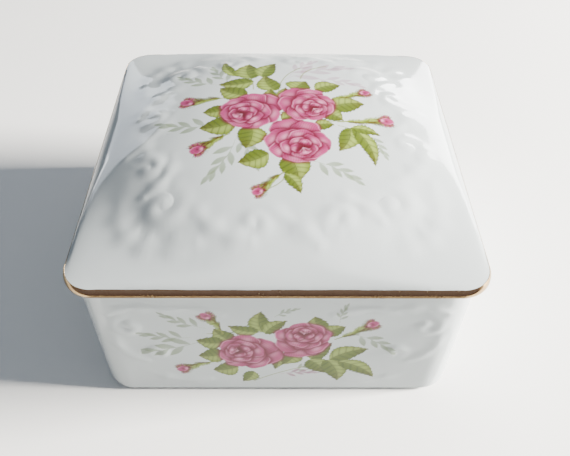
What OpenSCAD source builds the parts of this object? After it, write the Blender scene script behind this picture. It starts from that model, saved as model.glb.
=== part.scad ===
// Square porcelain trinket box with a lift-off pillow lid and a gilt lid edge.
// Millimetres. +Z is up, the front faces -Y, and the origin is the centre of the footprint.

/* [Lid] */
// Width of the lid over its gilt edge
lid_w = 125; // [90:1:180]
// Plan radius of the lid's corners
lid_corner_r = 10; // [8:0.5:16]
// Thickness of the lid's rounded edge
edge_t = 3.2; // [2.4:0.1:5]
// Rise of the dome above the seat
dome_h = 16; // [10:0.5:24]
// Fullness of the dome's shoulder, where 2 is an ellipse
dome_fullness = 2; // [1.8:0.1:3]
// Thickness of the lid's shell at its crown
lid_wall = 3; // [2:0.1:4]
// How far the lid's edge stands out past the base
overhang = 2.5; // [1:0.1:4]

/* [Locating flange] */
// Depth of the flange that drops inside the base
flange_d = 5; // [3:0.5:8]
// Thickness of the flange
flange_t = 2.6; // [2:0.1:3.2]
// Gap between the flange and the base's inner wall
flange_gap = 0.8; // [0.5:0.1:1.2]

/* [Base] */
// Height of the base, up to the seat
base_h = 55.5; // [35:0.5:90]
// Plan radius of the base's corners
base_corner_r = 10; // [9:0.5:15]
// Thickness of the base's walls
base_wall = 3.5; // [2.8:0.1:4.2]
// Thickness of the floor
floor_t = 4; // [3:0.1:6]
// Radius where the walls run into the floor inside
floor_fillet_r = 5; // [2:0.5:6]
// Radius of the rounded lip at the top of the walls
lip_r = 0.8; // [0.4:0.1:1.2]

/* [Foot] */
// Height of the foot under the floor
foot_h = 1.2; // [0.6:0.1:2.5]
// Distance from the outer wall to the inner side of the foot
foot_inset = 7; // [5.5:0.5:8]
// Radius between the foot and the outer wall
foot_edge_r = 2.5; // [1.5:0.1:3.5]

/* [Gilding] */
// Thickness of the gilding
gilt_t = 0.2; // [0.1:0.05:0.4]
// How far the gilding runs in over the top of the lid's edge
gilt_inset = 0.7; // [0.6:0.1:2]

/* [Hidden] */
$fn = 96;

porcelain = "#f4f6f5";
gilding = "#b98a45";

arc_steps = 8;        // segments in a plan corner of the lid
edge_steps = 5;       // segments in the lid edge's lower quarter round
gilt_steps = 4;       // segments of the gilding over the top of the edge
dome_steps = 22;      // rings from the gilding in to the crown
hollow_steps = 11;    // rings of the hollow under the dome
fillet_steps = 6;     // segments in a fillet of the base's section
corner_growth = 24;   // how soon the dome's rings turn from square to round
crown_roundness = 0.9; // corner radius over half width of the roundest ring, where 1 is a circle
foot_bevel = 0.8;     // slope on the foot's inner side
hollow_rise = 1.5;    // how far the hollow's sides run straight up past the seat
hollow_reach = 0.97;  // how near the hollow's last ring comes to its crown, where 1 is the crown
least_corner_r = 0.5; // smallest plan radius of an inner corner
cut_past = 1;         // how far a cut runs past the face it opens
half_w = lid_w / 2;
base_w = lid_w - 2 * overhang;
edge_r = edge_t / 2;
edge_z = base_h + edge_r;
crown_z = base_h + dome_h;
floor_z = foot_h + floor_t;
cavity_half = base_w / 2 - base_wall;
cavity_corner_r = base_corner_r - base_wall;
flange_half = cavity_half - flange_gap;
flange_corner_r = cavity_corner_r - flange_gap;
hollow_half = flange_half - flange_t;
hollow_corner_r = max(flange_corner_r - flange_t, least_corner_r);
hollow_spring_z = base_h + hollow_rise;
hollow_crown_z = crown_z - lid_wall;
gilt_s = gilt_inset / half_w;
fillet_r = min(floor_fillet_r, cavity_corner_r - least_corner_r);

// A quarter round in a section, from angle a0 to a1 about the point c.
function arc(c, r, a0, a1, steps) =
    [for (i = [0:steps]) let (a = a0 + (a1 - a0) * i / steps) c + r * [cos(a), sin(a)]];

// The dome's height over the lid's edge at s, which runs from 0 at the edge to 1 at the crown.
function dome_rise(s, rise) = rise * pow(1 - pow(1 - s, dome_fullness), 1 / dome_fullness);

// A ring of the dome is [half width, corner radius, height]. Up to s = even_s the rings keep an even
// distance from the outline, and from there they turn nearly to circles.
function dome_ring(s, half, corner_r, z0, rise, even_s) =
    let (w = half * (1 - s),
         e = min(s, even_s),
         first = (corner_r - half * e) / (half * (1 - e)),
         u = max(0, (s - even_s) / (1 - even_s)),
         share = first + (crown_roundness - first) * (1 - pow(1 - u, corner_growth)))
    [w, w * share, z0 + dome_rise(s, rise)];
function outer_ring(s) = dome_ring(s, half_w, lid_corner_r, edge_z, crown_z - edge_z, gilt_s);
function hollow_ring(s) =
    dome_ring(s, hollow_half, hollow_corner_r, hollow_spring_z, hollow_crown_z - hollow_spring_z, 0);

// The same ring, moved into the shell by t at right angles to the dome's section.
function sunk_ring(s, t) =
    let (step = 0.0005,
         run = half_w * step,
         climb = dome_rise(s + step, crown_z - edge_z) - dome_rise(s, crown_z - edge_z),
         length = norm([run, climb]),
         ring = outer_ring(s))
    ring + t * [-climb, -climb, -run] / length;

// The lower quarter round of the lid's edge at radius r, from the seat out to the widest point.
function edge_rings(r) =
    [for (i = [0:edge_steps]) let (a = 90 * i / edge_steps)
        [half_w - edge_r + r * sin(a), lid_corner_r - edge_r + r * sin(a), edge_z - r * cos(a)]];

dome_s = [for (i = [1:dome_steps - 1]) gilt_s + (1 - gilt_s) * pow(i / dome_steps, 1.5)];
gilt_top_s = [for (i = [1:gilt_steps]) gilt_s * i / gilt_steps];

// The points of a rounded square ring, anticlockwise from above.
function ring_points(ring) =
    let (m = ring[0] - ring[1])
    [for (q = [0:3], i = [0:arc_steps])
        let (a = 90 * q + 90 * i / arc_steps,
             x = (q == 0 || q == 3) ? m : -m,
             y = q < 2 ? m : -m)
        [x + ring[1] * cos(a), y + ring[1] * sin(a), ring[2]]];

ring_n = 4 * (arc_steps + 1);
function band_faces(first, second) =
    [for (i = [0:ring_n - 1], half = [0:1])
        let (j = (i + 1) % ring_n)
        half == 0 ? [first + i, second + i, second + j] : [first + i, second + j, first + j]];

// A closed solid from rings that run outside, up and over, with a point at each end.
module ring_solid(first_point, rings, last_point) {
    n = len(rings);
    points = [first_point, for (r = rings) each ring_points(r), last_point];
    last = len(points) - 1;
    faces = [
        for (i = [0:ring_n - 1]) [0, 1 + i, 1 + (i + 1) % ring_n],
        for (k = [0:n - 2]) each band_faces(1 + k * ring_n, 1 + (k + 1) * ring_n),
        for (i = [0:ring_n - 1])
            [last, 1 + (n - 1) * ring_n + (i + 1) % ring_n, 1 + (n - 1) * ring_n + i]
    ];
    polyhedron(points, faces, convexity = 6);
}

// A closed solid from rings that end where they began.
module ring_loop(rings) {
    n = len(rings);
    points = [for (r = rings) each ring_points(r)];
    faces = [for (k = [0:n - 1]) each band_faces(k * ring_n, ((k + 1) % n) * ring_n)];
    polyhedron(points, faces, convexity = 6);
}

// The wall's section, as [distance in from the outer wall, height], with the foot and half the floor's edge.
wall_section = concat(
    arc([foot_edge_r, foot_edge_r], foot_edge_r, 270, 180, fillet_steps),
    arc([lip_r, base_h - lip_r], lip_r, 180, 90, fillet_steps),
    arc([base_wall - lip_r, base_h - lip_r], lip_r, 90, 0, fillet_steps),
    arc([base_wall + fillet_r, floor_z + fillet_r], fillet_r, 180, 270, fillet_steps),
    [[base_corner_r, floor_z], [base_corner_r, foot_h], [foot_inset + foot_bevel, foot_h], [foot_inset, 0]]
);

// The box: four straight walls, four corners turned about their own centres, and the middle of the floor.
module base_box() color(porcelain) {
    m = base_w / 2 - base_corner_r;
    mirrored = [for (p = wall_section) [base_corner_r - p[0], p[1]]];
    for (turn = [0:90:270]) rotate([0, 0, turn]) {
        translate([m, m, 0]) rotate_extrude(angle = 90) polygon(mirrored);
        translate([m, m, 0]) rotate([90, 0, 0]) linear_extrude(2 * m) polygon(mirrored);
    }
    translate([-m, -m, foot_h]) cube([2 * m, 2 * m, floor_t]);
}

// The lid: a domed shell, its rounded edge sunk under the gilding, and the locating flange below.
module lid_shell() color(porcelain) {
    flange_z = base_h - flange_d;
    rings = [
        [flange_half, flange_corner_r, flange_z],
        [flange_half, flange_corner_r, base_h],
        [half_w - edge_r, lid_corner_r - edge_r, base_h],
        each edge_rings(edge_r - gilt_t),
        for (s = gilt_top_s) sunk_ring(s, gilt_t),
        outer_ring(gilt_s),
        for (s = dome_s) outer_ring(s)
    ];
    hollow = [
        [hollow_half, hollow_corner_r, flange_z],
        for (i = [0:hollow_steps]) hollow_ring(hollow_reach * pow(i / hollow_steps, 2))
    ];
    difference() {
        ring_solid([0, 0, flange_z], rings, [0, 0, crown_z]);
        translate([0, 0, -cut_past])
            ring_solid([0, 0, flange_z], [hollow[0], [hollow_half, hollow_corner_r, flange_z + cut_past]],
                       [0, 0, flange_z + cut_past]);
        ring_solid([0, 0, flange_z], hollow, [0, 0, hollow_crown_z]);
    }
}

// Burnished gold round the lid's edge, flush with the porcelain at its upper side.
module gilt_rim() color(gilding)
    ring_loop([
        each edge_rings(edge_r),
        for (s = gilt_top_s) outer_ring(s),
        for (i = [gilt_steps - 1:-1:0]) sunk_ring(gilt_top_s[i], gilt_t),
        for (i = [edge_steps:-1:0]) edge_rings(edge_r - gilt_t)[i]
    ]);

base_box();
lid_shell();
gilt_rim();
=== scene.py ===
import math

import bpy
import numpy as np
from mathutils import Matrix, Vector


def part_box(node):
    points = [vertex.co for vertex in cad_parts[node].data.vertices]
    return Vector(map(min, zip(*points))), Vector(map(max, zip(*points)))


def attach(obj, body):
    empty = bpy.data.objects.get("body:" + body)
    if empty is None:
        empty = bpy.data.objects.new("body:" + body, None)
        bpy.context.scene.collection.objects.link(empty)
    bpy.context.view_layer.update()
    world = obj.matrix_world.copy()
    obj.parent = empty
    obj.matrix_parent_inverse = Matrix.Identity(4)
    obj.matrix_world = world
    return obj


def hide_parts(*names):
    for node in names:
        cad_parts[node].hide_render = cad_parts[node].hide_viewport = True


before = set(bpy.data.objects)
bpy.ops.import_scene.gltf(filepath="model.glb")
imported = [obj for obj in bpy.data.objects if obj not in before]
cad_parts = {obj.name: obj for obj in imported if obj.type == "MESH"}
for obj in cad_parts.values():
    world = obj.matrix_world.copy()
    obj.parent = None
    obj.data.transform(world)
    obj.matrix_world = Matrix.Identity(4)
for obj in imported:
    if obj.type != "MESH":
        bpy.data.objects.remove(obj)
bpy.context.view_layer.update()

# ---- Base box: porcelain body ------------------------------------------------------------------
# The box is slip-cast in a plaster mould, so its walls carry soft moulded scrolls that the glaze
# rounds off further. It is glazed all over except for the band of the foot that it is fired on.
MM = 0.001
base_high = Vector(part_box("base_box")[1]) / MM
base_half = base_high.x
seat_z = base_high.z
base_corner = 10.0
wall = 3.5
floor_top = 5.2
foot_rise = 1.2
foot_in = 7.0
foot_bevel = 0.8
foot_edge = 2.5
lip = 0.8
floor_fillet = 5.0


def side_steps(parts):
    """Places along one side, from -1 to 1, from stretches of (start, end, step) in millimetres."""
    places = []
    for start, end, step in parts:
        count = max(1, round((end - start) / step))
        places.extend(start + (end - start) * i / count for i in range(count))
    span = parts[-1][1]
    return np.array(places) / span


def ring_points(half, corner, sides):
    """Points of a rounded square, front side first, with outward directions and places along a side."""
    points, outward, along, which = [], [], [], []
    corner = max(corner, 1e-4)
    flat = half - corner
    reach = flat + corner * math.pi / 4
    for number, places in enumerate(sides):
        p = places * reach
        a = np.clip((np.abs(p) - flat) / corner, 0, None)
        bent = np.abs(p) > flat
        nx = np.where(bent, np.sin(a), 0.0) * np.sign(p)
        ny = np.where(bent, np.cos(a), 1.0)
        x = np.where(bent, np.sign(p) * flat + corner * nx, p)
        y = np.where(bent, flat + corner * ny, half)
        c, s = math.cos(math.pi / 2 * number), math.sin(math.pi / 2 * number)
        x, y, nx, ny = x, -y, nx, -ny
        points.append(np.stack([c * x - s * y, s * x + c * y], 1))
        outward.append(np.stack([c * nx - s * ny, s * nx + c * ny], 1))
        along.append(p)
        which.append(np.full(len(p), number))
    return (np.concatenate(points), np.concatenate(outward), np.concatenate(along),
            np.concatenate(which))


def smooth(t):
    t = np.clip(t, 0, 1)
    return t * t * (3 - 2 * t)


def scroll_line(cx, cy, r0, r1, a0, a1, count=26):
    """A line that curls from radius r0 to r1 about a centre, from angle a0 to a1 in degrees."""
    t = np.linspace(0, 1, count)
    r = r0 * (r1 / r0) ** t
    a = np.radians(a0 + (a1 - a0) * t)
    return np.stack([cx + r * np.cos(a), cy + r * np.sin(a)], 1)


def bent_line(start, middle, end, count=16):
    t = np.linspace(0, 1, count)[:, None]
    start, middle, end = np.array(start), np.array(middle), np.array(end)
    return (1 - t) ** 2 * start + 2 * t * (1 - t) * middle + t ** 2 * end


def line_distance(x, y, line):
    """Distance from each point to a line, and how far along the line its nearest place is."""
    best = np.full(len(x), 1e9)
    share = np.zeros(len(x))
    for i in range(len(line) - 1):
        ax, ay = line[i]
        bx, by = line[i + 1] - line[i]
        t = np.clip(((x - ax) * bx + (y - ay) * by) / (bx * bx + by * by), 0, 1)
        d = np.hypot(x - ax - t * bx, y - ay - t * by)
        near = d < best
        best = np.where(near, d, best)
        share = np.where(near, (i + t) / (len(line) - 1), share)
    return best, share


def raise_ridge(height, x, y, line, width, rise, lobes=0):
    """Raises a soft round ridge along a line. Lobes swell it into the scallops of a shell edge."""
    reach = 2.6 * width
    low, high = line.min(0) - reach, line.max(0) + reach
    pick = np.nonzero((x > low[0]) & (x < high[0]) & (y > low[1]) & (y < high[1]))[0]
    if not len(pick):
        return
    d, t = line_distance(x[pick], y[pick], line)
    swell = 0.72 + 0.36 * np.sin(math.pi * lobes * t) ** 2 if lobes else 1.0
    taper = 0.25 + 0.75 * smooth(t * 2.6)
    ridge = rise * taper * swell * np.exp(-(d / (width * swell)) ** 2)
    height[pick] = np.hypot(height[pick], ridge)


def wall_relief(p, z):
    height = np.zeros(len(p))
    for hand in (-1, 1):
        x = p * hand
        raise_ridge(height, x, z, bent_line((30, 45), (40, 52), (51, 46)), 2.0, 0.45, 3)
        raise_ridge(height, x, z, scroll_line(46, 39, 5.4, 1.6, 80, -240), 1.7, 0.6)
        raise_ridge(height, x, z, bent_line((51, 36), (52, 25), (43, 20)), 1.9, 0.45, 2)
        raise_ridge(height, x, z, scroll_line(38, 25, 3.6, 1.3, -50, 220), 1.6, 0.55)
        raise_ridge(height, x, z, bent_line((36, 46), (28, 51), (17, 45)), 1.9, 0.4, 2)
        raise_ridge(height, x, z, bent_line((42, 12), (34, 6), (23, 8)), 1.8, 0.35, 2)
    return height * smooth((55 - z) / 4) * smooth((z - 3) / 4)


# The roses, leaves, buds and sprigs are a printed transfer of ceramic colour that sinks into the glaze
# in a third firing. It is built up here as soft layers of colour, each place in millimetres.
def hex_linear(code):
    values = [int(code[i:i + 2], 16) / 255 for i in (1, 3, 5)]
    return np.array([v / 12.92 if v <= 0.04045 else ((v + 0.055) / 1.055) ** 2.4 for v in values])


rose_pink = hex_linear("#8e2a5a")
rose_deep = hex_linear("#560820")
rose_heart = hex_linear("#460810")
rose_pale = hex_linear("#dd92b2")
leaf_green = hex_linear("#5a6a12")
leaf_light = hex_linear("#8a9b4a")
leaf_dark = hex_linear("#1e2604")
leaf_brown = hex_linear("#3e1208")
sprig_grey = hex_linear("#6c7a5c")
sprig_mauve = hex_linear("#8a5a72")
stem_green = hex_linear("#6c7722")


def new_print(x, y):
    return {"x": x, "y": y, "rgb": np.ones((len(x), 3)), "cover": np.zeros(len(x))}


def near(sheet, cx, cy, reach):
    return np.nonzero((np.abs(sheet["x"] - cx) < reach) & (np.abs(sheet["y"] - cy) < reach))[0]


def lay(sheet, pick, cover, colour):
    """Lays one colour over what is printed already."""
    cover = np.clip(cover, 0, 1)
    old = sheet["cover"][pick]
    new = cover + old * (1 - cover)
    share = (cover / np.maximum(new, 1e-6))[:, None]
    sheet["rgb"][pick] = sheet["rgb"][pick] * (1 - share) + colour * share
    sheet["cover"][pick] = new


def turned(sheet, pick, cx, cy, angle):
    a = math.radians(angle)
    dx, dy = sheet["x"][pick] - cx, sheet["y"][pick] - cy
    return dx * math.cos(a) + dy * math.sin(a), -dx * math.sin(a) + dy * math.cos(a)


def blend(first, second, t):
    return first + (second - first) * np.clip(t, 0, 1)[:, None]


def print_petal(sheet, cx, cy, length, width, angle, light=1.0, phase=0.0, fresh=0.0):
    """A cupped petal: deep colour at its root, a pale bloom near its lip, and a thin uneven lip line."""
    pick = near(sheet, cx, cy, max(length, width) * 1.25 + 1)
    if not len(pick):
        return
    u, v = turned(sheet, pick, cx, cy, angle)
    v = v - 0.06 * length * math.sin(phase * 1.3) * (u / length) ** 2
    eu = (u - length / 2) / (length / 2)
    ev = v / (width / 2) / (0.78 + 0.3 * np.clip(u / length, 0, 1))
    way = np.arctan2(ev, eu)
    rim = 1 + 0.05 * np.sin(3 * way + phase) + 0.03 * np.sin(7 * way + 2 * phase)
    d = (np.hypot(eu, ev) - rim) * min(length, width) / 2
    shade = 0.9 * np.exp(-(np.clip(d, 0, None) / 0.75) ** 2) * (d > 0) * sheet["cover"][pick]
    lay(sheet, pick, shade, rose_deep)
    t = u / length + fresh
    colour = blend(np.broadcast_to(rose_heart, (len(pick), 3)), rose_deep, 0.1 + 2.2 * t)
    colour = blend(colour, rose_pink, -0.6 + 1.8 * t)
    bloom = np.exp(-((t - 0.72) / 0.15) ** 2 - ((ev - 0.2 * math.sin(phase)) / 0.38) ** 2)
    glow = bloom * (0.16 + 0.58 * light ** 3)
    streak = 0.1 * np.sin(v * 8 + 1.4 * np.sin(u * 1.7 + phase)) * np.clip(t, 0, 1)
    colour = blend(colour, rose_pale, glow + streak)
    thin = 0.25 + 0.27 * np.sin(2 * way + phase * 1.7)
    edge = np.exp(-((d + 0.22) / 0.17) ** 2) * smooth((t - 0.4) * 3) * thin
    colour = blend(colour, rose_pale, edge)
    lay(sheet, pick, np.clip(0.5 - d / 0.3, 0, 1), colour)


rose_petals = (
    (180, -0.10, 1.02, 1.30, 0.6), (125, 0.00, 1.00, 1.05, 0.9), (-128, 0.00, 1.02, 1.00, 0.5),
    (76, 0.05, 0.96, 0.92, 1.0), (-72, 0.05, 0.98, 0.95, 0.8), (24, 0.10, 0.84, 1.10, 0.9),
    (-26, 0.10, 0.86, 0.95, 0.6), (160, 0.20, 0.80, 1.00, 1.0), (-158, 0.24, 0.74, 0.86, 0.8),
    (102, 0.22, 0.62, 0.70, 1.0), (-96, 0.24, 0.60, 0.74, 0.9), (30, 0.26, 0.50, 0.62, 1.0),
    (-34, 0.26, 0.48, 0.56, 0.7), (172, 0.36, 0.52, 0.60, 1.0), (-140, 0.34, 0.40, 0.40, 0.9),
    (118, 0.34, 0.36, 0.40, 0.8), (10, 0.32, 0.30, 0.44, 1.0),
)


def print_rose(sheet, cx, cy, size, angle, hand=1):
    """A cabbage rose with its heart off centre towards the angle; hand -1 is the mirrored flower."""
    way = math.radians(angle)
    for i, (turn, start, length, width, light) in enumerate(rose_petals):
        sx = cx + start * size * math.cos(way)
        sy = cy + start * size * math.sin(way)
        print_petal(sheet, sx, sy, length * size, width * size, angle + hand * turn, light, i + angle)
    hx, hy = cx + 0.33 * size * math.cos(way), cy + 0.33 * size * math.sin(way)
    pick = near(sheet, hx, hy, size * 0.5)
    if not len(pick):
        return
    u, v = turned(sheet, pick, hx, hy, angle)
    lay(sheet, pick, 0.85 * np.exp(-(u / (0.07 * size)) ** 2 - (v / (0.17 * size)) ** 2), rose_heart)
    for i in range(7):
        a = math.radians(angle + 55 * math.sin(2.4 * i))
        line = np.array([(hx, hy), (hx + 0.2 * size * math.cos(a), hy + 0.2 * size * math.sin(a))])
        print_line(sheet, line, 0.12, rose_pale, 0.5)


def print_leaf(sheet, x, y, length, width, angle, tint=0.0, bend=0.1):
    """A toothed leaf from its stalk at (x, y) to its tip."""
    pick = near(sheet, x, y, length * 1.15 + 1)
    if not len(pick):
        return
    u, v = turned(sheet, pick, x, y, angle)
    t = np.clip(u / length, 0, 1)
    v = v - bend * length * t * (1 - t) * 4
    half = 0.64 * width * np.sin(math.pi * t ** 0.74) ** 0.8
    tooth = ((t * length / 1.35 + 0.35 * np.abs(v)) % 1.0) * 0.55 * np.clip(half, 0, 1)
    d = np.maximum(np.abs(v) - half + tooth, np.maximum(-u, u - length))
    colour = blend(np.broadcast_to(leaf_green, (len(pick), 3)), leaf_light,
                   0.8 * np.exp(-((v / np.maximum(half, 0.1) - 0.35) / 0.4) ** 2))
    colour = blend(colour, leaf_dark, 0.3 * (v < 0) + 0.35 * np.exp(-(d / 0.3) ** 2))
    vein = np.abs(((t * 5.5 - np.abs(v) / width * 1.6) % 1.0) - 0.5)
    colour = blend(colour, leaf_dark, 0.5 * np.exp(-(vein / 0.13) ** 2) * smooth(np.abs(v) / 0.4))
    colour = blend(colour, leaf_dark, 0.6 * np.exp(-(v / 0.16) ** 2))
    colour = blend(colour, leaf_brown, tint * smooth((t - 0.45) / 0.5))
    lay(sheet, pick, np.clip(0.5 - d / 0.3, 0, 1), colour)


def print_line(sheet, line, width, colour, strength=0.9):
    low, high = line.min(0) - 1.5, line.max(0) + 1.5
    x, y = sheet["x"], sheet["y"]
    pick = np.nonzero((x > low[0]) & (x < high[0]) & (y > low[1]) & (y < high[1]))[0]
    if len(pick):
        d, t = line_distance(x[pick], y[pick], line)
        lay(sheet, pick, strength * np.clip(0.5 - (d - width / 2) / 0.28, 0, 1), colour)


def print_bud(sheet, x, y, size, angle, stalk):
    """A half-open bud on a mossy stem; stalk is where the stem starts."""
    a = math.radians(angle)
    base = (x - size * 0.45 * math.cos(a), y - size * 0.45 * math.sin(a))
    bow = ((base[0] + stalk[0]) / 2 + 0.8 * math.sin(a), (base[1] + stalk[1]) / 2 - 0.8 * math.cos(a))
    stem = bent_line(stalk, bow, base, 30)
    print_line(sheet, stem, 0.55, stem_green)
    for start, width in ((9, 1.0), (13, 1.6), (17, 2.1), (22, 2.6), (26, 3.0)):
        print_line(sheet, stem[start:], width * size / 6, leaf_green, 0.6)
    for i in range(130):
        share = (i * 0.618) % 1.0
        along = 6 + share * 23
        place = stem[int(along)] + (stem[min(int(along) + 1, 29)] - stem[int(along)]) * (along % 1)
        lean = 22 + 38 * math.sin(i * 2.3) ** 2
        way = math.radians(angle + lean * (1 if i % 2 else -1))
        reach = size * (0.16 + 0.38 * share + 0.1 * math.sin(i * 1.9))
        tip = place + reach * np.array([math.cos(way), math.sin(way)])
        tint = leaf_brown if i % 4 == 0 else leaf_light if i % 4 == 1 else leaf_green
        print_line(sheet, np.array([place, tip]), 0.28, tint, 0.85)
    for turn in (-34, 36):
        print_leaf(sheet, base[0], base[1], size * 0.95, size * 0.3, angle + turn, 0.5, 0.04)
    for i, turn in enumerate((-34, 32, 0)):
        print_petal(sheet, x - 0.34 * size * math.cos(a), y - 0.34 * size * math.sin(a), size * 0.8,
                    size * 0.66, angle + turn, 1.0, i, 0.55)
    pick = near(sheet, x, y, size)
    if len(pick):
        u, v = turned(sheet, pick, x, y, angle)
        lay(sheet, pick, 0.8 * np.exp(-(u / (0.13 * size)) ** 2 - (v / (0.13 * size)) ** 2), rose_deep)
    for i in range(22):
        way = math.radians(angle + (40 + 6 * i) * (1 if i % 2 else -1))
        place = (x + 0.36 * size * math.cos(way), y + 0.36 * size * math.sin(way))
        tip = (place[0] + 0.3 * size * math.cos(way), place[1] + 0.3 * size * math.sin(way))
        print_line(sheet, np.array([place, tip]), 0.3, leaf_brown if i % 3 == 0 else leaf_green, 0.7)


def print_sprig(sheet, x, y, length, angle, colour, strength=0.85, bow=0.15):
    """A faint background sprig of narrow leaves along one stem."""
    a = math.radians(angle)
    end = (x + length * math.cos(a), y + length * math.sin(a))
    middle = ((x + end[0]) / 2 - bow * length * math.sin(a),
              (y + end[1]) / 2 + bow * length * math.cos(a))
    stem = bent_line((x, y), middle, end)
    print_line(sheet, stem, 0.22, colour, strength)
    for i in range(7):
        place = stem[3 + 2 * min(i, 6)]
        way = angle + (38 if i % 2 else -38) * (1 - i / 7)
        pick = near(sheet, place[0], place[1], length * 0.4)
        if not len(pick):
            continue
        u, v = turned(sheet, pick, place[0], place[1], way)
        size = length * (0.42 - 0.02 * i)
        t = np.clip(u / size, 0, 1)
        d = np.maximum(np.abs(v) - 0.17 * size * np.sin(math.pi * t), np.maximum(-u, u - size))
        lay(sheet, pick, strength * (0.7 + 0.3 * t) * np.clip(0.5 - d / 0.45, 0, 1), colour)


def front_print(x, z):
    sheet = new_print(x, z)
    for place in ((-24, 31, 19, 195), (-22, 38, 13, 150), (-27, 33, 14, 172)):
        print_sprig(sheet, *place, sprig_grey)
    for place in ((23, 35, 15, -35), (19, 41, 8, 80), (5, 12, 9, 40), (-1, 44, 7, 30)):
        print_sprig(sheet, *place, sprig_grey)
    print_sprig(sheet, 1, 11, 10, 5, sprig_mauve)
    print_line(sheet, bent_line((-8, 6.5), (0, 13), (17, 19)), 0.5, stem_green, 0.7)
    print_line(sheet, bent_line((-22, 35), (-12, 36), (-4, 36)), 0.5, stem_green, 0.7)
    for leaf in ((-4.5, 36, 11, 6, 92), (-4, 35, 10, 5, 45), (-6, 36, 10, 5, 160), (14, 37, 8, 6, 110),
                 (15, 34, 8, 5.5, 40), (-14, 31, 9, 6, 130), (-17, 30, 9, 6, 170), (-17, 24, 9, 7, 190),
                 (-13, 16, 9, 7, 195), (-8, 13, 8, 5, 240), (-1, 26, 12, 5, 270), (6, 25, 9, 6, 240),
                 (11, 20, 12, 6.5, 58), (17, 20, 14, 7, 28), (10, 20, 10, 7, -55), (16, 20, 14, 7, -72),
                 (20, 19, 16, 6, -38)):
        print_leaf(sheet, *leaf, 0.25)
    print_bud(sheet, -21.5, 44.5, 5, 125, (-17, 35))
    print_bud(sheet, 29, 40, 5, 35, (18, 32))
    print_bud(sheet, -31.5, 14.5, 5, 205, (-20, 19))
    print_rose(sheet, -9.5, 24.5, 10, 165)
    print_rose(sheet, 8, 32, 9.3, 85, -1)
    # The front's sheet is laid a little thinner than the lid's.
    sheet["cover"] *= 0.93
    return sheet


def add_mesh(name, points, faces):
    mesh = bpy.data.meshes.new(name)
    mesh.from_pydata([tuple(p) for p in points], [], faces)
    mesh.validate()
    mesh.shade_smooth()
    mesh.set_sharp_from_angle(angle=math.radians(40))
    thing = bpy.data.objects.new(name, mesh)
    bpy.context.scene.collection.objects.link(thing)
    return thing


def band(first, second, count):
    return [(first + i, first + (i + 1) % count, second + (i + 1) % count, second + i)
            for i in range(count)]


def quarter(cx, cz, r, a0, a1, count=6):
    """Points of a quarter round in the wall's section, as (distance in from the wall, height)."""
    a = np.radians(np.linspace(a0, a1, count + 1))
    return [(cx + r * math.cos(v), cz + r * math.sin(v)) for v in a]


front_side = side_steps([(-57.85, -42, 0.9), (-42, 38, 0.33), (38, 57.85, 0.9)])
plain_side = side_steps([(-57.85, 57.85, 1.2)])
sides = [front_side, plain_side, plain_side, plain_side]
wall_rows = [(0.0, z) for z in np.arange(3.0, 54.2, 0.34)]
section = [(foot_in + foot_bevel, foot_rise), (foot_in, 0.0), (foot_in - 0.3, 0.0), (foot_edge, 0.0)]
section += quarter(foot_edge, foot_edge, foot_edge, 270, 180)[1:] + wall_rows
section += quarter(lip, seat_z - lip, lip, 180, 90)
section += quarter(wall - lip, seat_z - lip, lip, 90, 0)
section += quarter(wall + floor_fillet, floor_top + floor_fillet, floor_fillet, 180, 270, 8)
section += [(11.0, floor_top)]

unprinted = 999.0
rings, wall_place, wall_height = [], [], []
for inset, z in section:
    points, outward, along, which = ring_points(base_half - inset, max(base_corner - inset, 0.4), sides)
    if inset == 0.0:
        points = points + outward * wall_relief(along, np.full(len(along), z))[:, None]
    rings.append(np.column_stack([points, np.full(len(points), z)]))
    wall_place.append(np.where((which == 0) & (inset == 0.0), along, unprinted))
    wall_height.append(np.full(len(points), z))
count = len(rings[0])
base_points = np.concatenate(rings + [np.array([[0, 0, foot_rise], [0, 0, floor_top]])])
base_faces = []
for k in range(len(rings) - 1):
    base_faces += band(k * count, (k + 1) * count, count)
under, over = len(base_points) - 2, len(base_points) - 1
last = (len(rings) - 1) * count
base_faces += [(under, (i + 1) % count, i) for i in range(count)]
base_faces += [(over, last + i, last + (i + 1) % count) for i in range(count)]
porcelain_base = add_mesh("porcelain_base", base_points * MM, base_faces)

place = np.concatenate(wall_place + [np.array([unprinted, unprinted])])
level = np.concatenate(wall_height + [np.array([0.0, 0.0])])


def store_print(thing, sheet, pick, total):
    colour = np.zeros((total, 4))
    colour[:, :3] = 1
    colour[pick, :3] = sheet["rgb"]
    colour[pick, 3] = sheet["cover"]
    layer = thing.data.color_attributes.new("transfer", "FLOAT_COLOR", "POINT")
    layer.data.foreach_set("color", colour.ravel())


printed = np.nonzero((place > -44) & (place < 40) & (level > 3))[0]
store_print(porcelain_base, front_print(place[printed], level[printed]), printed, len(base_points))


def add_node(tree, kind, settings=None, links=None):
    """Adds one node; links maps an input to the output that feeds it."""
    node = tree.nodes.new(kind)
    for key, value in (settings or {}).items():
        if key in node.inputs.keys():
            node.inputs[key].default_value = value
        else:
            setattr(node, key, value)
    for key, source in (links or {}).items():
        tree.links.new(source, node.inputs[key])
    return node


def new_material(name):
    material = bpy.data.materials.new(name)
    material.use_nodes = True
    material.node_tree.nodes.clear()
    return material, material.node_tree


def rgba(code):
    return (*hex_linear(code), 1.0)


def add_tones(tree, factor, low, high):
    """Mixes two colours by an output and returns the mix."""
    mix = add_node(tree, "ShaderNodeMix", {"data_type": "RGBA"}, {"Factor": factor})
    mix.inputs[6].default_value = rgba(low)
    mix.inputs[7].default_value = rgba(high)
    return mix.outputs[2]


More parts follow.
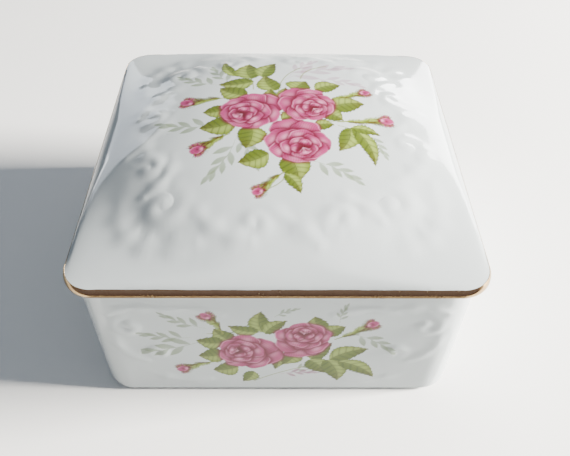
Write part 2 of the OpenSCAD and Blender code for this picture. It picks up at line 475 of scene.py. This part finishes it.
# Glazed hard porcelain, dipped and fired. The clear glaze gives sharp, small highlights over a cool
# white body, and it lies in slow waves a few millimetres long. The transfer lies just under it.
glazed, tree = new_material("glazed_porcelain_with_transfer")
where = add_node(tree, "ShaderNodeTexCoord")
transfer = add_node(tree, "ShaderNodeVertexColor", {"layer_name": "transfer"})
stipple = add_node(tree, "ShaderNodeTexNoise", {"Scale": 1600.0, "Detail": 2.0},
                   {"Vector": where.outputs["Object"]})
grain = add_node(tree, "ShaderNodeMapRange",
                 {"From Min": 0.3, "From Max": 0.7, "To Min": 0.985, "To Max": 1.0},
                {"Value": stipple.outputs["Fac"]})
cover = add_node(tree, "ShaderNodeMath", {"operation": "MULTIPLY"})
tree.links.new(transfer.outputs["Alpha"], cover.inputs[0])
tree.links.new(grain.outputs["Result"], cover.inputs[1])
body_noise = add_node(tree, "ShaderNodeTexNoise", {"Scale": 45.0, "Detail": 3.0},
                      {"Vector": where.outputs["Object"]})
body = add_tones(tree, body_noise.outputs["Fac"], "#aeb5b7", "#b9c0c1")
colour = add_node(tree, "ShaderNodeMix", {"data_type": "RGBA"})
tree.links.new(cover.outputs[0], colour.inputs["Factor"])
tree.links.new(body, colour.inputs[6])
tree.links.new(transfer.outputs["Color"], colour.inputs[7])
waves = add_node(tree, "ShaderNodeTexNoise", {"Scale": 110.0, "Detail": 1.5},
                 {"Vector": where.outputs["Object"]})
glaze_bump = add_node(tree, "ShaderNodeBump", {"Strength": 0.12, "Distance": 0.0004},
                      {"Height": waves.outputs["Fac"]})
shader = add_node(tree, "ShaderNodeBsdfPrincipled",
                  {"Roughness": 0.08, "IOR": 1.46},
                  {"Base Color": colour.outputs[2], "Normal": glaze_bump.outputs["Normal"]})
add_node(tree, "ShaderNodeOutputMaterial", None, {"Surface": shader.outputs["BSDF"]})

# Bare biscuit porcelain on the foot: wiped clean of glaze before firing, so it is matt and a little
# warm.
biscuit, tree = new_material("bare_biscuit_porcelain")
where = add_node(tree, "ShaderNodeTexCoord")
grit = add_node(tree, "ShaderNodeTexNoise", {"Scale": 900.0, "Detail": 4.0},
                {"Vector": where.outputs["Object"]})
tone = add_tones(tree, grit.outputs["Fac"], "#d8d3c8", "#e9e5dc")
grit_bump = add_node(tree, "ShaderNodeBump", {"Strength": 0.3, "Distance": 0.0001},
                     {"Height": grit.outputs["Fac"]})
shader = add_node(tree, "ShaderNodeBsdfPrincipled", {"Roughness": 0.75, "IOR": 1.5},
                  {"Base Color": tone, "Normal": grit_bump.outputs["Normal"]})
add_node(tree, "ShaderNodeOutputMaterial", None, {"Surface": shader.outputs["BSDF"]})

porcelain_base.data.materials.append(glazed)
porcelain_base.data.materials.append(biscuit)
for face in porcelain_base.data.polygons:
    if face.center.z < 0.05 * MM:
        face.material_index = 1
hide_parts("base_box")
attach(porcelain_base, "base")

# ---- Lid: porcelain shell ----------------------------------------------------------------------
# The lid is a second casting: a domed shell with a smooth shoulder, a wreath of soft scrolls and a plain
# crown for the print. A flange underneath drops inside the base and keeps the lid from sliding.
lid_low, lid_high = [Vector(c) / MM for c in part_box("lid_shell")]
gilt_high = Vector(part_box("gilt_rim")[1]) / MM
lid_half = gilt_high.x
lid_corner = 10.0
edge_r = 1.6
edge_z = seat_z + edge_r
crown_z = lid_high.z
gilt_in = 0.7
gilt_thick = 0.2
crown_round = 0.9
turn_rate = 24
flange_gap = 0.8
flange_half = base_half - wall - flange_gap
flange_corner = base_corner - wall - flange_gap
flange_wall = 2.6
shell = 3.0


def dome_ring(s, half, corner, low, high, even):
    """Half width, corner radius and height of the dome's ring at s, 0 at the edge and 1 at the crown."""
    w = half * (1 - s)
    e = np.minimum(s, even)
    first = (corner - half * e) / (half * (1 - e))
    u = np.maximum(0, (s - even) / (1 - even))
    share = first + (crown_round - first) * (1 - (1 - u) ** turn_rate)
    return w, w * share, low + (high - low) * np.sqrt(np.maximum(0, 1 - (1 - s) ** 2))


gilt_even = gilt_in / lid_half


def dome_height(x, y, half=lid_half, corner=lid_corner, low=edge_z, high=crown_z, even=gilt_even):
    """The dome's height over a point: the ring through it is found by halving."""
    ax, ay = np.abs(x), np.abs(y)
    out, within = np.zeros(len(x)), np.ones(len(x))
    for _ in range(34):
        s = (out + within) / 2
        w, r, _z = dome_ring(s, half, corner, low, high, even)
        m = w - r
        inside = np.where((ax <= m) | (ay <= m), np.maximum(ax, ay) <= w,
                          np.hypot(ax - m, ay - m) <= r)
        out, within = np.where(inside, s, out), np.where(inside, within, s)
    return dome_ring(out, half, corner, low, high, even)[2]


def lid_relief(x, y):
    height = np.zeros(len(x))
    for quarter_turn in range(4):
        a = math.pi / 2 * quarter_turn
        u, v = x * math.cos(a) + y * math.sin(a), -x * math.sin(a) + y * math.cos(a)
        raise_ridge(height, u, v, bent_line((-47, -22), (-54, -54), (-24, -49)), 3.4, 0.3, 5)
        raise_ridge(height, u, v, scroll_line(-35, -36, 8.4, 1.8, 60, -270), 3.0, 0.38)
        raise_ridge(height, u, v, bent_line((-27, -33), (-21, -47), (-8, -49)), 3.0, 0.32, 3)
        raise_ridge(height, u, v, scroll_line(-7, -43, 4.8, 1.6, -90, 160), 2.4, 0.31)
        raise_ridge(height, u, v, bent_line((-8, -36), (5, -42), (12, -50)), 2.8, 0.31, 2)
        raise_ridge(height, u, v, scroll_line(19, -41, 5.4, 1.6, 250, -20), 2.5, 0.38)
        raise_ridge(height, u, v, bent_line((15, -34), (25, -33), (31, -41)), 2.6, 0.34, 2)
        raise_ridge(height, u, v, bent_line((-45, -22), (-40, -14), (-46, -5)), 3.0, 0.24, 3)
    edge = np.maximum(np.abs(x), np.abs(y))
    return height * smooth((58 - edge) / 6)


x_span = [(-61.5, -41, 0.9), (-41, 46, 0.32), (46, 61.5, 0.9)]
y_span = [(-61.5, -37, 0.9), (-37, 45, 0.32), (45, 61.5, 0.9)]
top_half = lid_half - gilt_in
gx = np.append(side_steps(x_span) * top_half, top_half)
gy = np.append(side_steps(y_span) * top_half, top_half)
GX, GY = [g.ravel() for g in np.meshgrid(gx, gy)]


def slide(x, y, t, r):
    """Slides points of a square ring of half width t on to that ring with corner radius r."""
    flat, reach = t - r, (t - r) + r * math.pi / 4
    wide = np.abs(x) >= np.abs(y)
    along = np.where(wide, y, x) / np.maximum(t, 1e-9) * reach
    a = np.clip((np.abs(along) - flat) / r, 0, math.pi / 4)
    bent = np.abs(along) > flat
    side = np.where(bent, np.sign(along) * (flat + r * np.sin(a)), along)
    out = np.where(bent, flat + r * np.cos(a), t)
    return np.where(wide, np.sign(x) * out, side), np.where(wide, side, np.sign(y) * out)


def round_corners(x, y, half, corner):
    """Moves a square grid's outer rings on to rounded squares, with its middle left as it is."""
    t = np.maximum(np.abs(x), np.abs(y))
    return slide(x, y, t, np.maximum(corner * smooth((t / half - 0.75) / 0.25), 1e-4))


TX, TY = round_corners(GX, GY, top_half, lid_corner - gilt_in)
TZ = dome_height(TX, TY) + lid_relief(TX, TY)
columns, rows = len(gx), len(gy)
lid_points = [np.column_stack([TX, TY, TZ])]
lid_faces = [(j * columns + i, j * columns + i + 1, (j + 1) * columns + i + 1, (j + 1) * columns + i)
             for j in range(rows - 1) for i in range(columns - 1)]
rim_index = ([i for i in range(columns - 1)] + [j * columns + columns - 1 for j in range(rows - 1)]
             + [(rows - 1) * columns + i for i in range(columns - 1, 0, -1)]
             + [j * columns for j in range(rows - 1, 0, -1)])
rim_xy = np.column_stack([GX, GY])[rim_index]


def rim_ring(half, corner, z):
    """The grid's outermost ring at another width and corner radius."""
    x, y = rim_xy.T / top_half * half
    x, y = slide(x, y, np.full(len(x), half), max(corner, 1e-3))
    return np.column_stack([x, y, np.full(len(x), z)])


def edge_ring(r, angle):
    """A ring of the edge's lower quarter round at radius r."""
    a = math.radians(angle)
    return (lid_half - edge_r + r * math.sin(a), lid_corner - edge_r + r * math.sin(a),
            edge_z - r * math.cos(a))


hollow_half = flange_half - flange_wall
hollow_corner = flange_corner - flange_wall
flange_z = lid_low.z
soft = 0.5
shell_rings = []
for s in np.linspace(1, 0, 4)[1:]:
    w, r, z = dome_ring(s * gilt_even, lid_half, lid_corner, edge_z, crown_z, gilt_even)
    shell_rings.append((w - gilt_thick, r - gilt_thick, z - 0.05))
shell_rings += [edge_ring(edge_r - gilt_thick, a) for a in (60, 30, 0)]
shell_rings += [(lid_half - edge_r, lid_corner - edge_r, seat_z), (flange_half, flange_corner, seat_z),
                (flange_half, flange_corner, flange_z + soft),
                (flange_half - soft, flange_corner - soft, flange_z),
                (hollow_half + soft, hollow_corner + soft, flange_z),
                (hollow_half, hollow_corner, flange_z + soft)]
for k in range(12):
    shell_rings.append(dome_ring(0.97 * (k / 11) ** 2, hollow_half, hollow_corner, seat_z + 1.5,
                                 crown_z - shell, 0.0))
total = len(TX)
previous = rim_index
rim_count = len(rim_index)
for half, corner, z in shell_rings:
    lid_points.append(rim_ring(float(half), float(corner), float(z)))
    current = list(range(total, total + rim_count))
    lid_faces += [(previous[i], current[i], current[(i + 1) % rim_count], previous[(i + 1) % rim_count])
                  for i in range(rim_count)]
    previous = current
    total += rim_count
lid_points.append(np.array([[0, 0, crown_z - shell]]))
lid_faces += [(total, previous[(i + 1) % rim_count], previous[i]) for i in range(rim_count)]
total += 1
porcelain_lid = add_mesh("porcelain_lid", np.concatenate(lid_points) * MM, lid_faces)


def lid_print(x, y):
    sheet = new_print(x, y)
    for place in ((-21, 24, 16, 150), (-17, 25, 14, 120), (-21, -1, 17, 172), (-14, -9, 17, -115),
                  (-14, -8, 14, -62), (10, -19, 15, -28), (28, -3, 12, -60)):
        print_sprig(sheet, *place, sprig_grey)
    for place in ((2, 27, 24, 28), (4, 30, 15, 55), (12, 28, 16, -8)):
        print_sprig(sheet, *place, sprig_mauve, 0.5)
    for start, middle, end in (((0, 17), (0, 30), (8, 37)), ((8, 28), (9, 36), (18, 40)),
                               ((14, 1), (24, 1), (33, 4)), ((2, -24), (3, -28), (-3, -31)),
                               ((20, -1), (28, -3), (31, -8)), ((-9, 20), (-9, 27), (-12, 33))):
        print_line(sheet, bent_line(start, middle, end), 0.5, stem_green, 0.75)
    for leaf in ((-15, 30, 13, 4, 112), (-10, 28, 11, 8, 95), (-6, 29, 11, 6.5, 68), (-9, 26, 11, 7, 187),
                 (-1, 19, 10, 7, 110), (-11, 16, 10, 7, 150), (-2, 12, 7, 5, 95), (3, 12, 8, 5, 92),
                 (6, 19, 7, 8, 60), (13, 20, 9, 6.5, 25), (18, 9, 11, 8, 18), (15, 6, 7, 6, -30),
                 (-18, 8, 7, 6, 190), (-14, 1, 11, 8, 195), (-9, -2, 10, 8, 262), (-3, -16, 9, 7, 202),
                 (3, -17, 10, 8, 285), (1, 1, 5, 6, 20), (12, -2, 6, 5, 10), (24, -2, 11, 6, 250),
                 (25, -2, 16, 5, 288), (24, -2, 9, 4, -15), (2, -25, 8, 4, 302)):
        x0, y0, length, width, angle = leaf
        print_leaf(sheet, x0, y0, 1.18 * length, 1.04 * width, angle, 0.3)
    print_bud(sheet, -32, 13.5, 6, 160, (-18, 15))
    print_bud(sheet, -26, -13, 6, 205, (-16, -6))
    print_bud(sheet, 37, 4, 6, 8, (20, 1))
    print_bud(sheet, 31, 20.5, 5, 30, (19, 15))
    print_bud(sheet, -6, -32, 4.5, 200, (2, -24))
    print_rose(sheet, 6.5, -10, 10.8, 295, -1)
    print_rose(sheet, -9.5, 6.5, 10.6, 215)
    print_rose(sheet, 10, 10.5, 10, 310)
    return sheet


printed = np.nonzero((TX > -44) & (TX < 46) & (TY > -38) & (TY < 46))[0]
store_print(porcelain_lid, lid_print(TX[printed], TY[printed]), printed, total)
porcelain_lid.data.materials.append(glazed)
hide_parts("lid_shell")
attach(porcelain_lid, "lid")

# ---- Gilt band round the lid's edge ------------------------------------------------------------
# Liquid bright gold, brushed on by hand round the edge and fired at a low heat. Its inner line wavers
# with the brush, and years of handling have thinned it there.
side_span = 60.2
gold_sides = [side_steps([(-side_span, side_span, 0.67)])] * 4
gold_reach = 1.12
gold_even = 1.2 * gilt_even


def gold_ring(half, corner, z, waver=0.0):
    points, outward, along, which = ring_points(half, corner, gold_sides)
    place = along + which * 2 * side_span
    shift = waver * (np.sin(place * 0.11) + 0.7 * np.sin(place * 0.37 + 1)
                     + 0.35 * np.sin(place * 1.13 + 2))
    points = points - outward * shift[:, None]
    if waver:
        z = dome_height(points[:, 0], points[:, 1]) + 0.05
    return np.column_stack([points, np.zeros(len(points)) + z])


gold_rings = [gold_ring(*edge_ring(edge_r, a)) for a in np.linspace(0, 90, 11)]
for s in np.linspace(0, gold_reach, 12)[1:]:
    w, r, z = dome_ring(s * gilt_even, lid_half, lid_corner, edge_z, crown_z, gold_even)
    gold_rings.append(gold_ring(w, r, z + 0.03, 0.03 if s > 1.05 else 0.0))
for s in np.linspace(gold_reach, 0, 8):
    w, r, z = dome_ring(s * gilt_even, lid_half, lid_corner, edge_z, crown_z, gold_even)
    gold_rings.append(gold_ring(w - gilt_thick, r - gilt_thick, z - gilt_thick))
gold_rings += [gold_ring(*edge_ring(edge_r - gilt_thick, a)) for a in np.linspace(80, 0, 6)]
count = len(gold_rings[0])
gold_faces = []
for k in range(len(gold_rings)):
    gold_faces += band(k * count, (k + 1) % len(gold_rings) * count, count)
gilt_band = add_mesh("gilt_band", np.concatenate(gold_rings) * MM, gold_faces)

# Fired bright gold: a mirror-like warm metal with faint brush strokes, and a browner, duller look where
# it has worn.
gold, tree = new_material("fired_bright_gold")
where = add_node(tree, "ShaderNodeTexCoord")
wear = add_node(tree, "ShaderNodeTexNoise", {"Scale": 260.0, "Detail": 5.0, "Roughness": 0.7},
                {"Vector": where.outputs["Object"]})
tone = add_tones(tree, wear.outputs["Fac"], "#c8aa7c", "#9e8058")
dull = add_node(tree, "ShaderNodeMapRange",
                {"From Min": 0.35, "From Max": 0.7, "To Min": 0.12, "To Max": 0.3},
                {"Value": wear.outputs["Fac"]})
brush_bump = add_node(tree, "ShaderNodeBump", {"Strength": 0.15, "Distance": 0.0001},
                      {"Height": wear.outputs["Fac"]})
shader = add_node(tree, "ShaderNodeBsdfPrincipled", {"Metallic": 1.0},
                  {"Base Color": tone, "Roughness": dull.outputs["Result"],
                   "Normal": brush_bump.outputs["Normal"]})
add_node(tree, "ShaderNodeOutputMaterial", None, {"Surface": shader.outputs["BSDF"]})
gilt_band.data.materials.append(gold)
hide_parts("gilt_rim")
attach(gilt_band, "lid")

# ---- Studio ------------------------------------------------------------------------------------
# A plain pale sheet under the box, and a low lamp from the right that throws a long shadow. The rest
# only draws in the glaze and the gold. The camera looks down on the box from the front.
bpy.ops.mesh.primitive_plane_add(size=6.0, location=(0, 0, 0))
floor = bpy.context.object
floor.name = "floor"
paper, tree = new_material("pale_matt_paper")
shader = add_node(tree, "ShaderNodeBsdfPrincipled", {"Base Color": rgba("#efefed"), "Roughness": 0.8})
add_node(tree, "ShaderNodeOutputMaterial", None, {"Surface": shader.outputs["BSDF"]})
floor.data.materials.append(paper)


def add_light(name, place, size, power, colour="#ffffff", diffuse=True):
    data = bpy.data.lights.new(name, "AREA")
    data.shape = "RECTANGLE"
    data.size, data.size_y = size
    data.energy = power
    data.color = tuple(hex_linear(colour))
    lamp = bpy.data.objects.new(name, data)
    lamp.location = place
    lamp.visible_camera = False
    lamp.visible_diffuse = diffuse
    lamp.rotation_euler = (Vector((0, 0, 0.04)) - Vector(place)).to_track_quat("-Z", "Y").to_euler()
    bpy.context.scene.collection.objects.link(lamp)


add_light("window", (1.25, -0.03, 0.49), (0.3, 0.3), 192.0, "#fffaf2")
# The panel and the back window are seen only in reflections, on the lid's right and left shoulders.
add_light("panel", (0.95, 1.25, 0.36), (0.9, 0.5), 34.0, diffuse=False)
add_light("back_window", (-0.6, 0.82, 0.34), (0.5, 0.34), 3.0, "#e6eef6", diffuse=False)
add_light("strip", (-0.76, 0.66, 0.22), (0.16, 0.06), 0.25)

# Two glowing cards in front, seen only in reflections, stand for a dim room and a grey table edge. Their
# glow
# is a painted reflection: the first gives the gilding its brown, and the second keeps the pale floor from
# washing out the front's print.
def add_card(name, place, size, turn, low, high):
    bpy.ops.mesh.primitive_plane_add(size=1.0, location=place, rotation=(turn, 0, 0))
    card = bpy.context.object
    card.name = name
    card.scale = (*size, 1.0)
    card.visible_camera = card.visible_diffuse = card.visible_shadow = False
    reflection_glow, tree = new_material(name + "_felt")
    where = add_node(tree, "ShaderNodeTexCoord")
    rise = add_node(tree, "ShaderNodeSeparateXYZ", None, {"Vector": where.outputs["Generated"]})
    tone = add_tones(tree, rise.outputs["Y"], low, high)
    # The card glows with its colour, mixed from low to high, and shows only as a painted reflection: it
    # lights nothing.
    shader = add_node(tree, "ShaderNodeEmission", {"Strength": 1.0}, {"Color": tone})
    add_node(tree, "ShaderNodeOutputMaterial", None, {"Surface": shader.outputs["Emission"]})
    card.data.materials.append(reflection_glow)


add_card("dim_room_card", (0, -0.12, 0.05), (0.7, 0.1), math.pi / 2, "#5d4238", "#b2b4d6")
add_card("grey_table_card", (0, -0.0882, 0.0005), (0.16, 0.056), 0.0, "#e9e5df", "#e9e5df")

world = bpy.data.worlds.new("studio_air")
bpy.context.scene.world = world
world.use_nodes = True
tree = world.node_tree
tree.nodes.clear()
# The room is bright behind and to the right, and dim in front and to the left.
where = add_node(tree, "ShaderNodeTexCoord")
side = add_node(tree, "ShaderNodeVectorMath", {"operation": "DOT_PRODUCT"})
tree.links.new(where.outputs["Generated"], side.inputs[0])
side.inputs[1].default_value = (0.62, 0.72, 0.3)
room = add_node(tree, "ShaderNodeMapRange",
                {"From Min": -0.55, "From Max": 0.75, "To Min": 0.0, "To Max": 1.0},
                {"Value": side.outputs["Value"]})
tint = add_tones(tree, room.outputs["Result"], "#74787f", "#aab4c0")
air = add_node(tree, "ShaderNodeBackground", {"Strength": 1.0}, {"Color": tint})
add_node(tree, "ShaderNodeOutputWorld", None, {"Surface": air.outputs["Background"]})

pitch, yaw, roll = math.radians(46.50), math.radians(0.814), math.radians(0.756)
level_way = Vector((math.sin(yaw), math.cos(yaw), 0))
right = Vector((math.cos(yaw), -math.sin(yaw), 0))
forward = level_way * math.cos(pitch) - Vector((0, 0, 1)) * math.sin(pitch)
up = level_way * math.sin(pitch) + Vector((0, 0, 1)) * math.cos(pitch)
right, up = right * math.cos(roll) + up * math.sin(roll), up * math.cos(roll) - right * math.sin(roll)
lens = bpy.data.cameras.new("camera")
lens.lens = 39.17
lens.sensor_width = 36.0
camera = bpy.data.objects.new("camera", lens)
turn = Matrix((right, up, -forward)).transposed().to_4x4()
camera.matrix_world = Matrix.Translation((0.0003, -0.16886, 0.19762)) @ turn
bpy.context.scene.collection.objects.link(camera)
bpy.context.scene.camera = camera
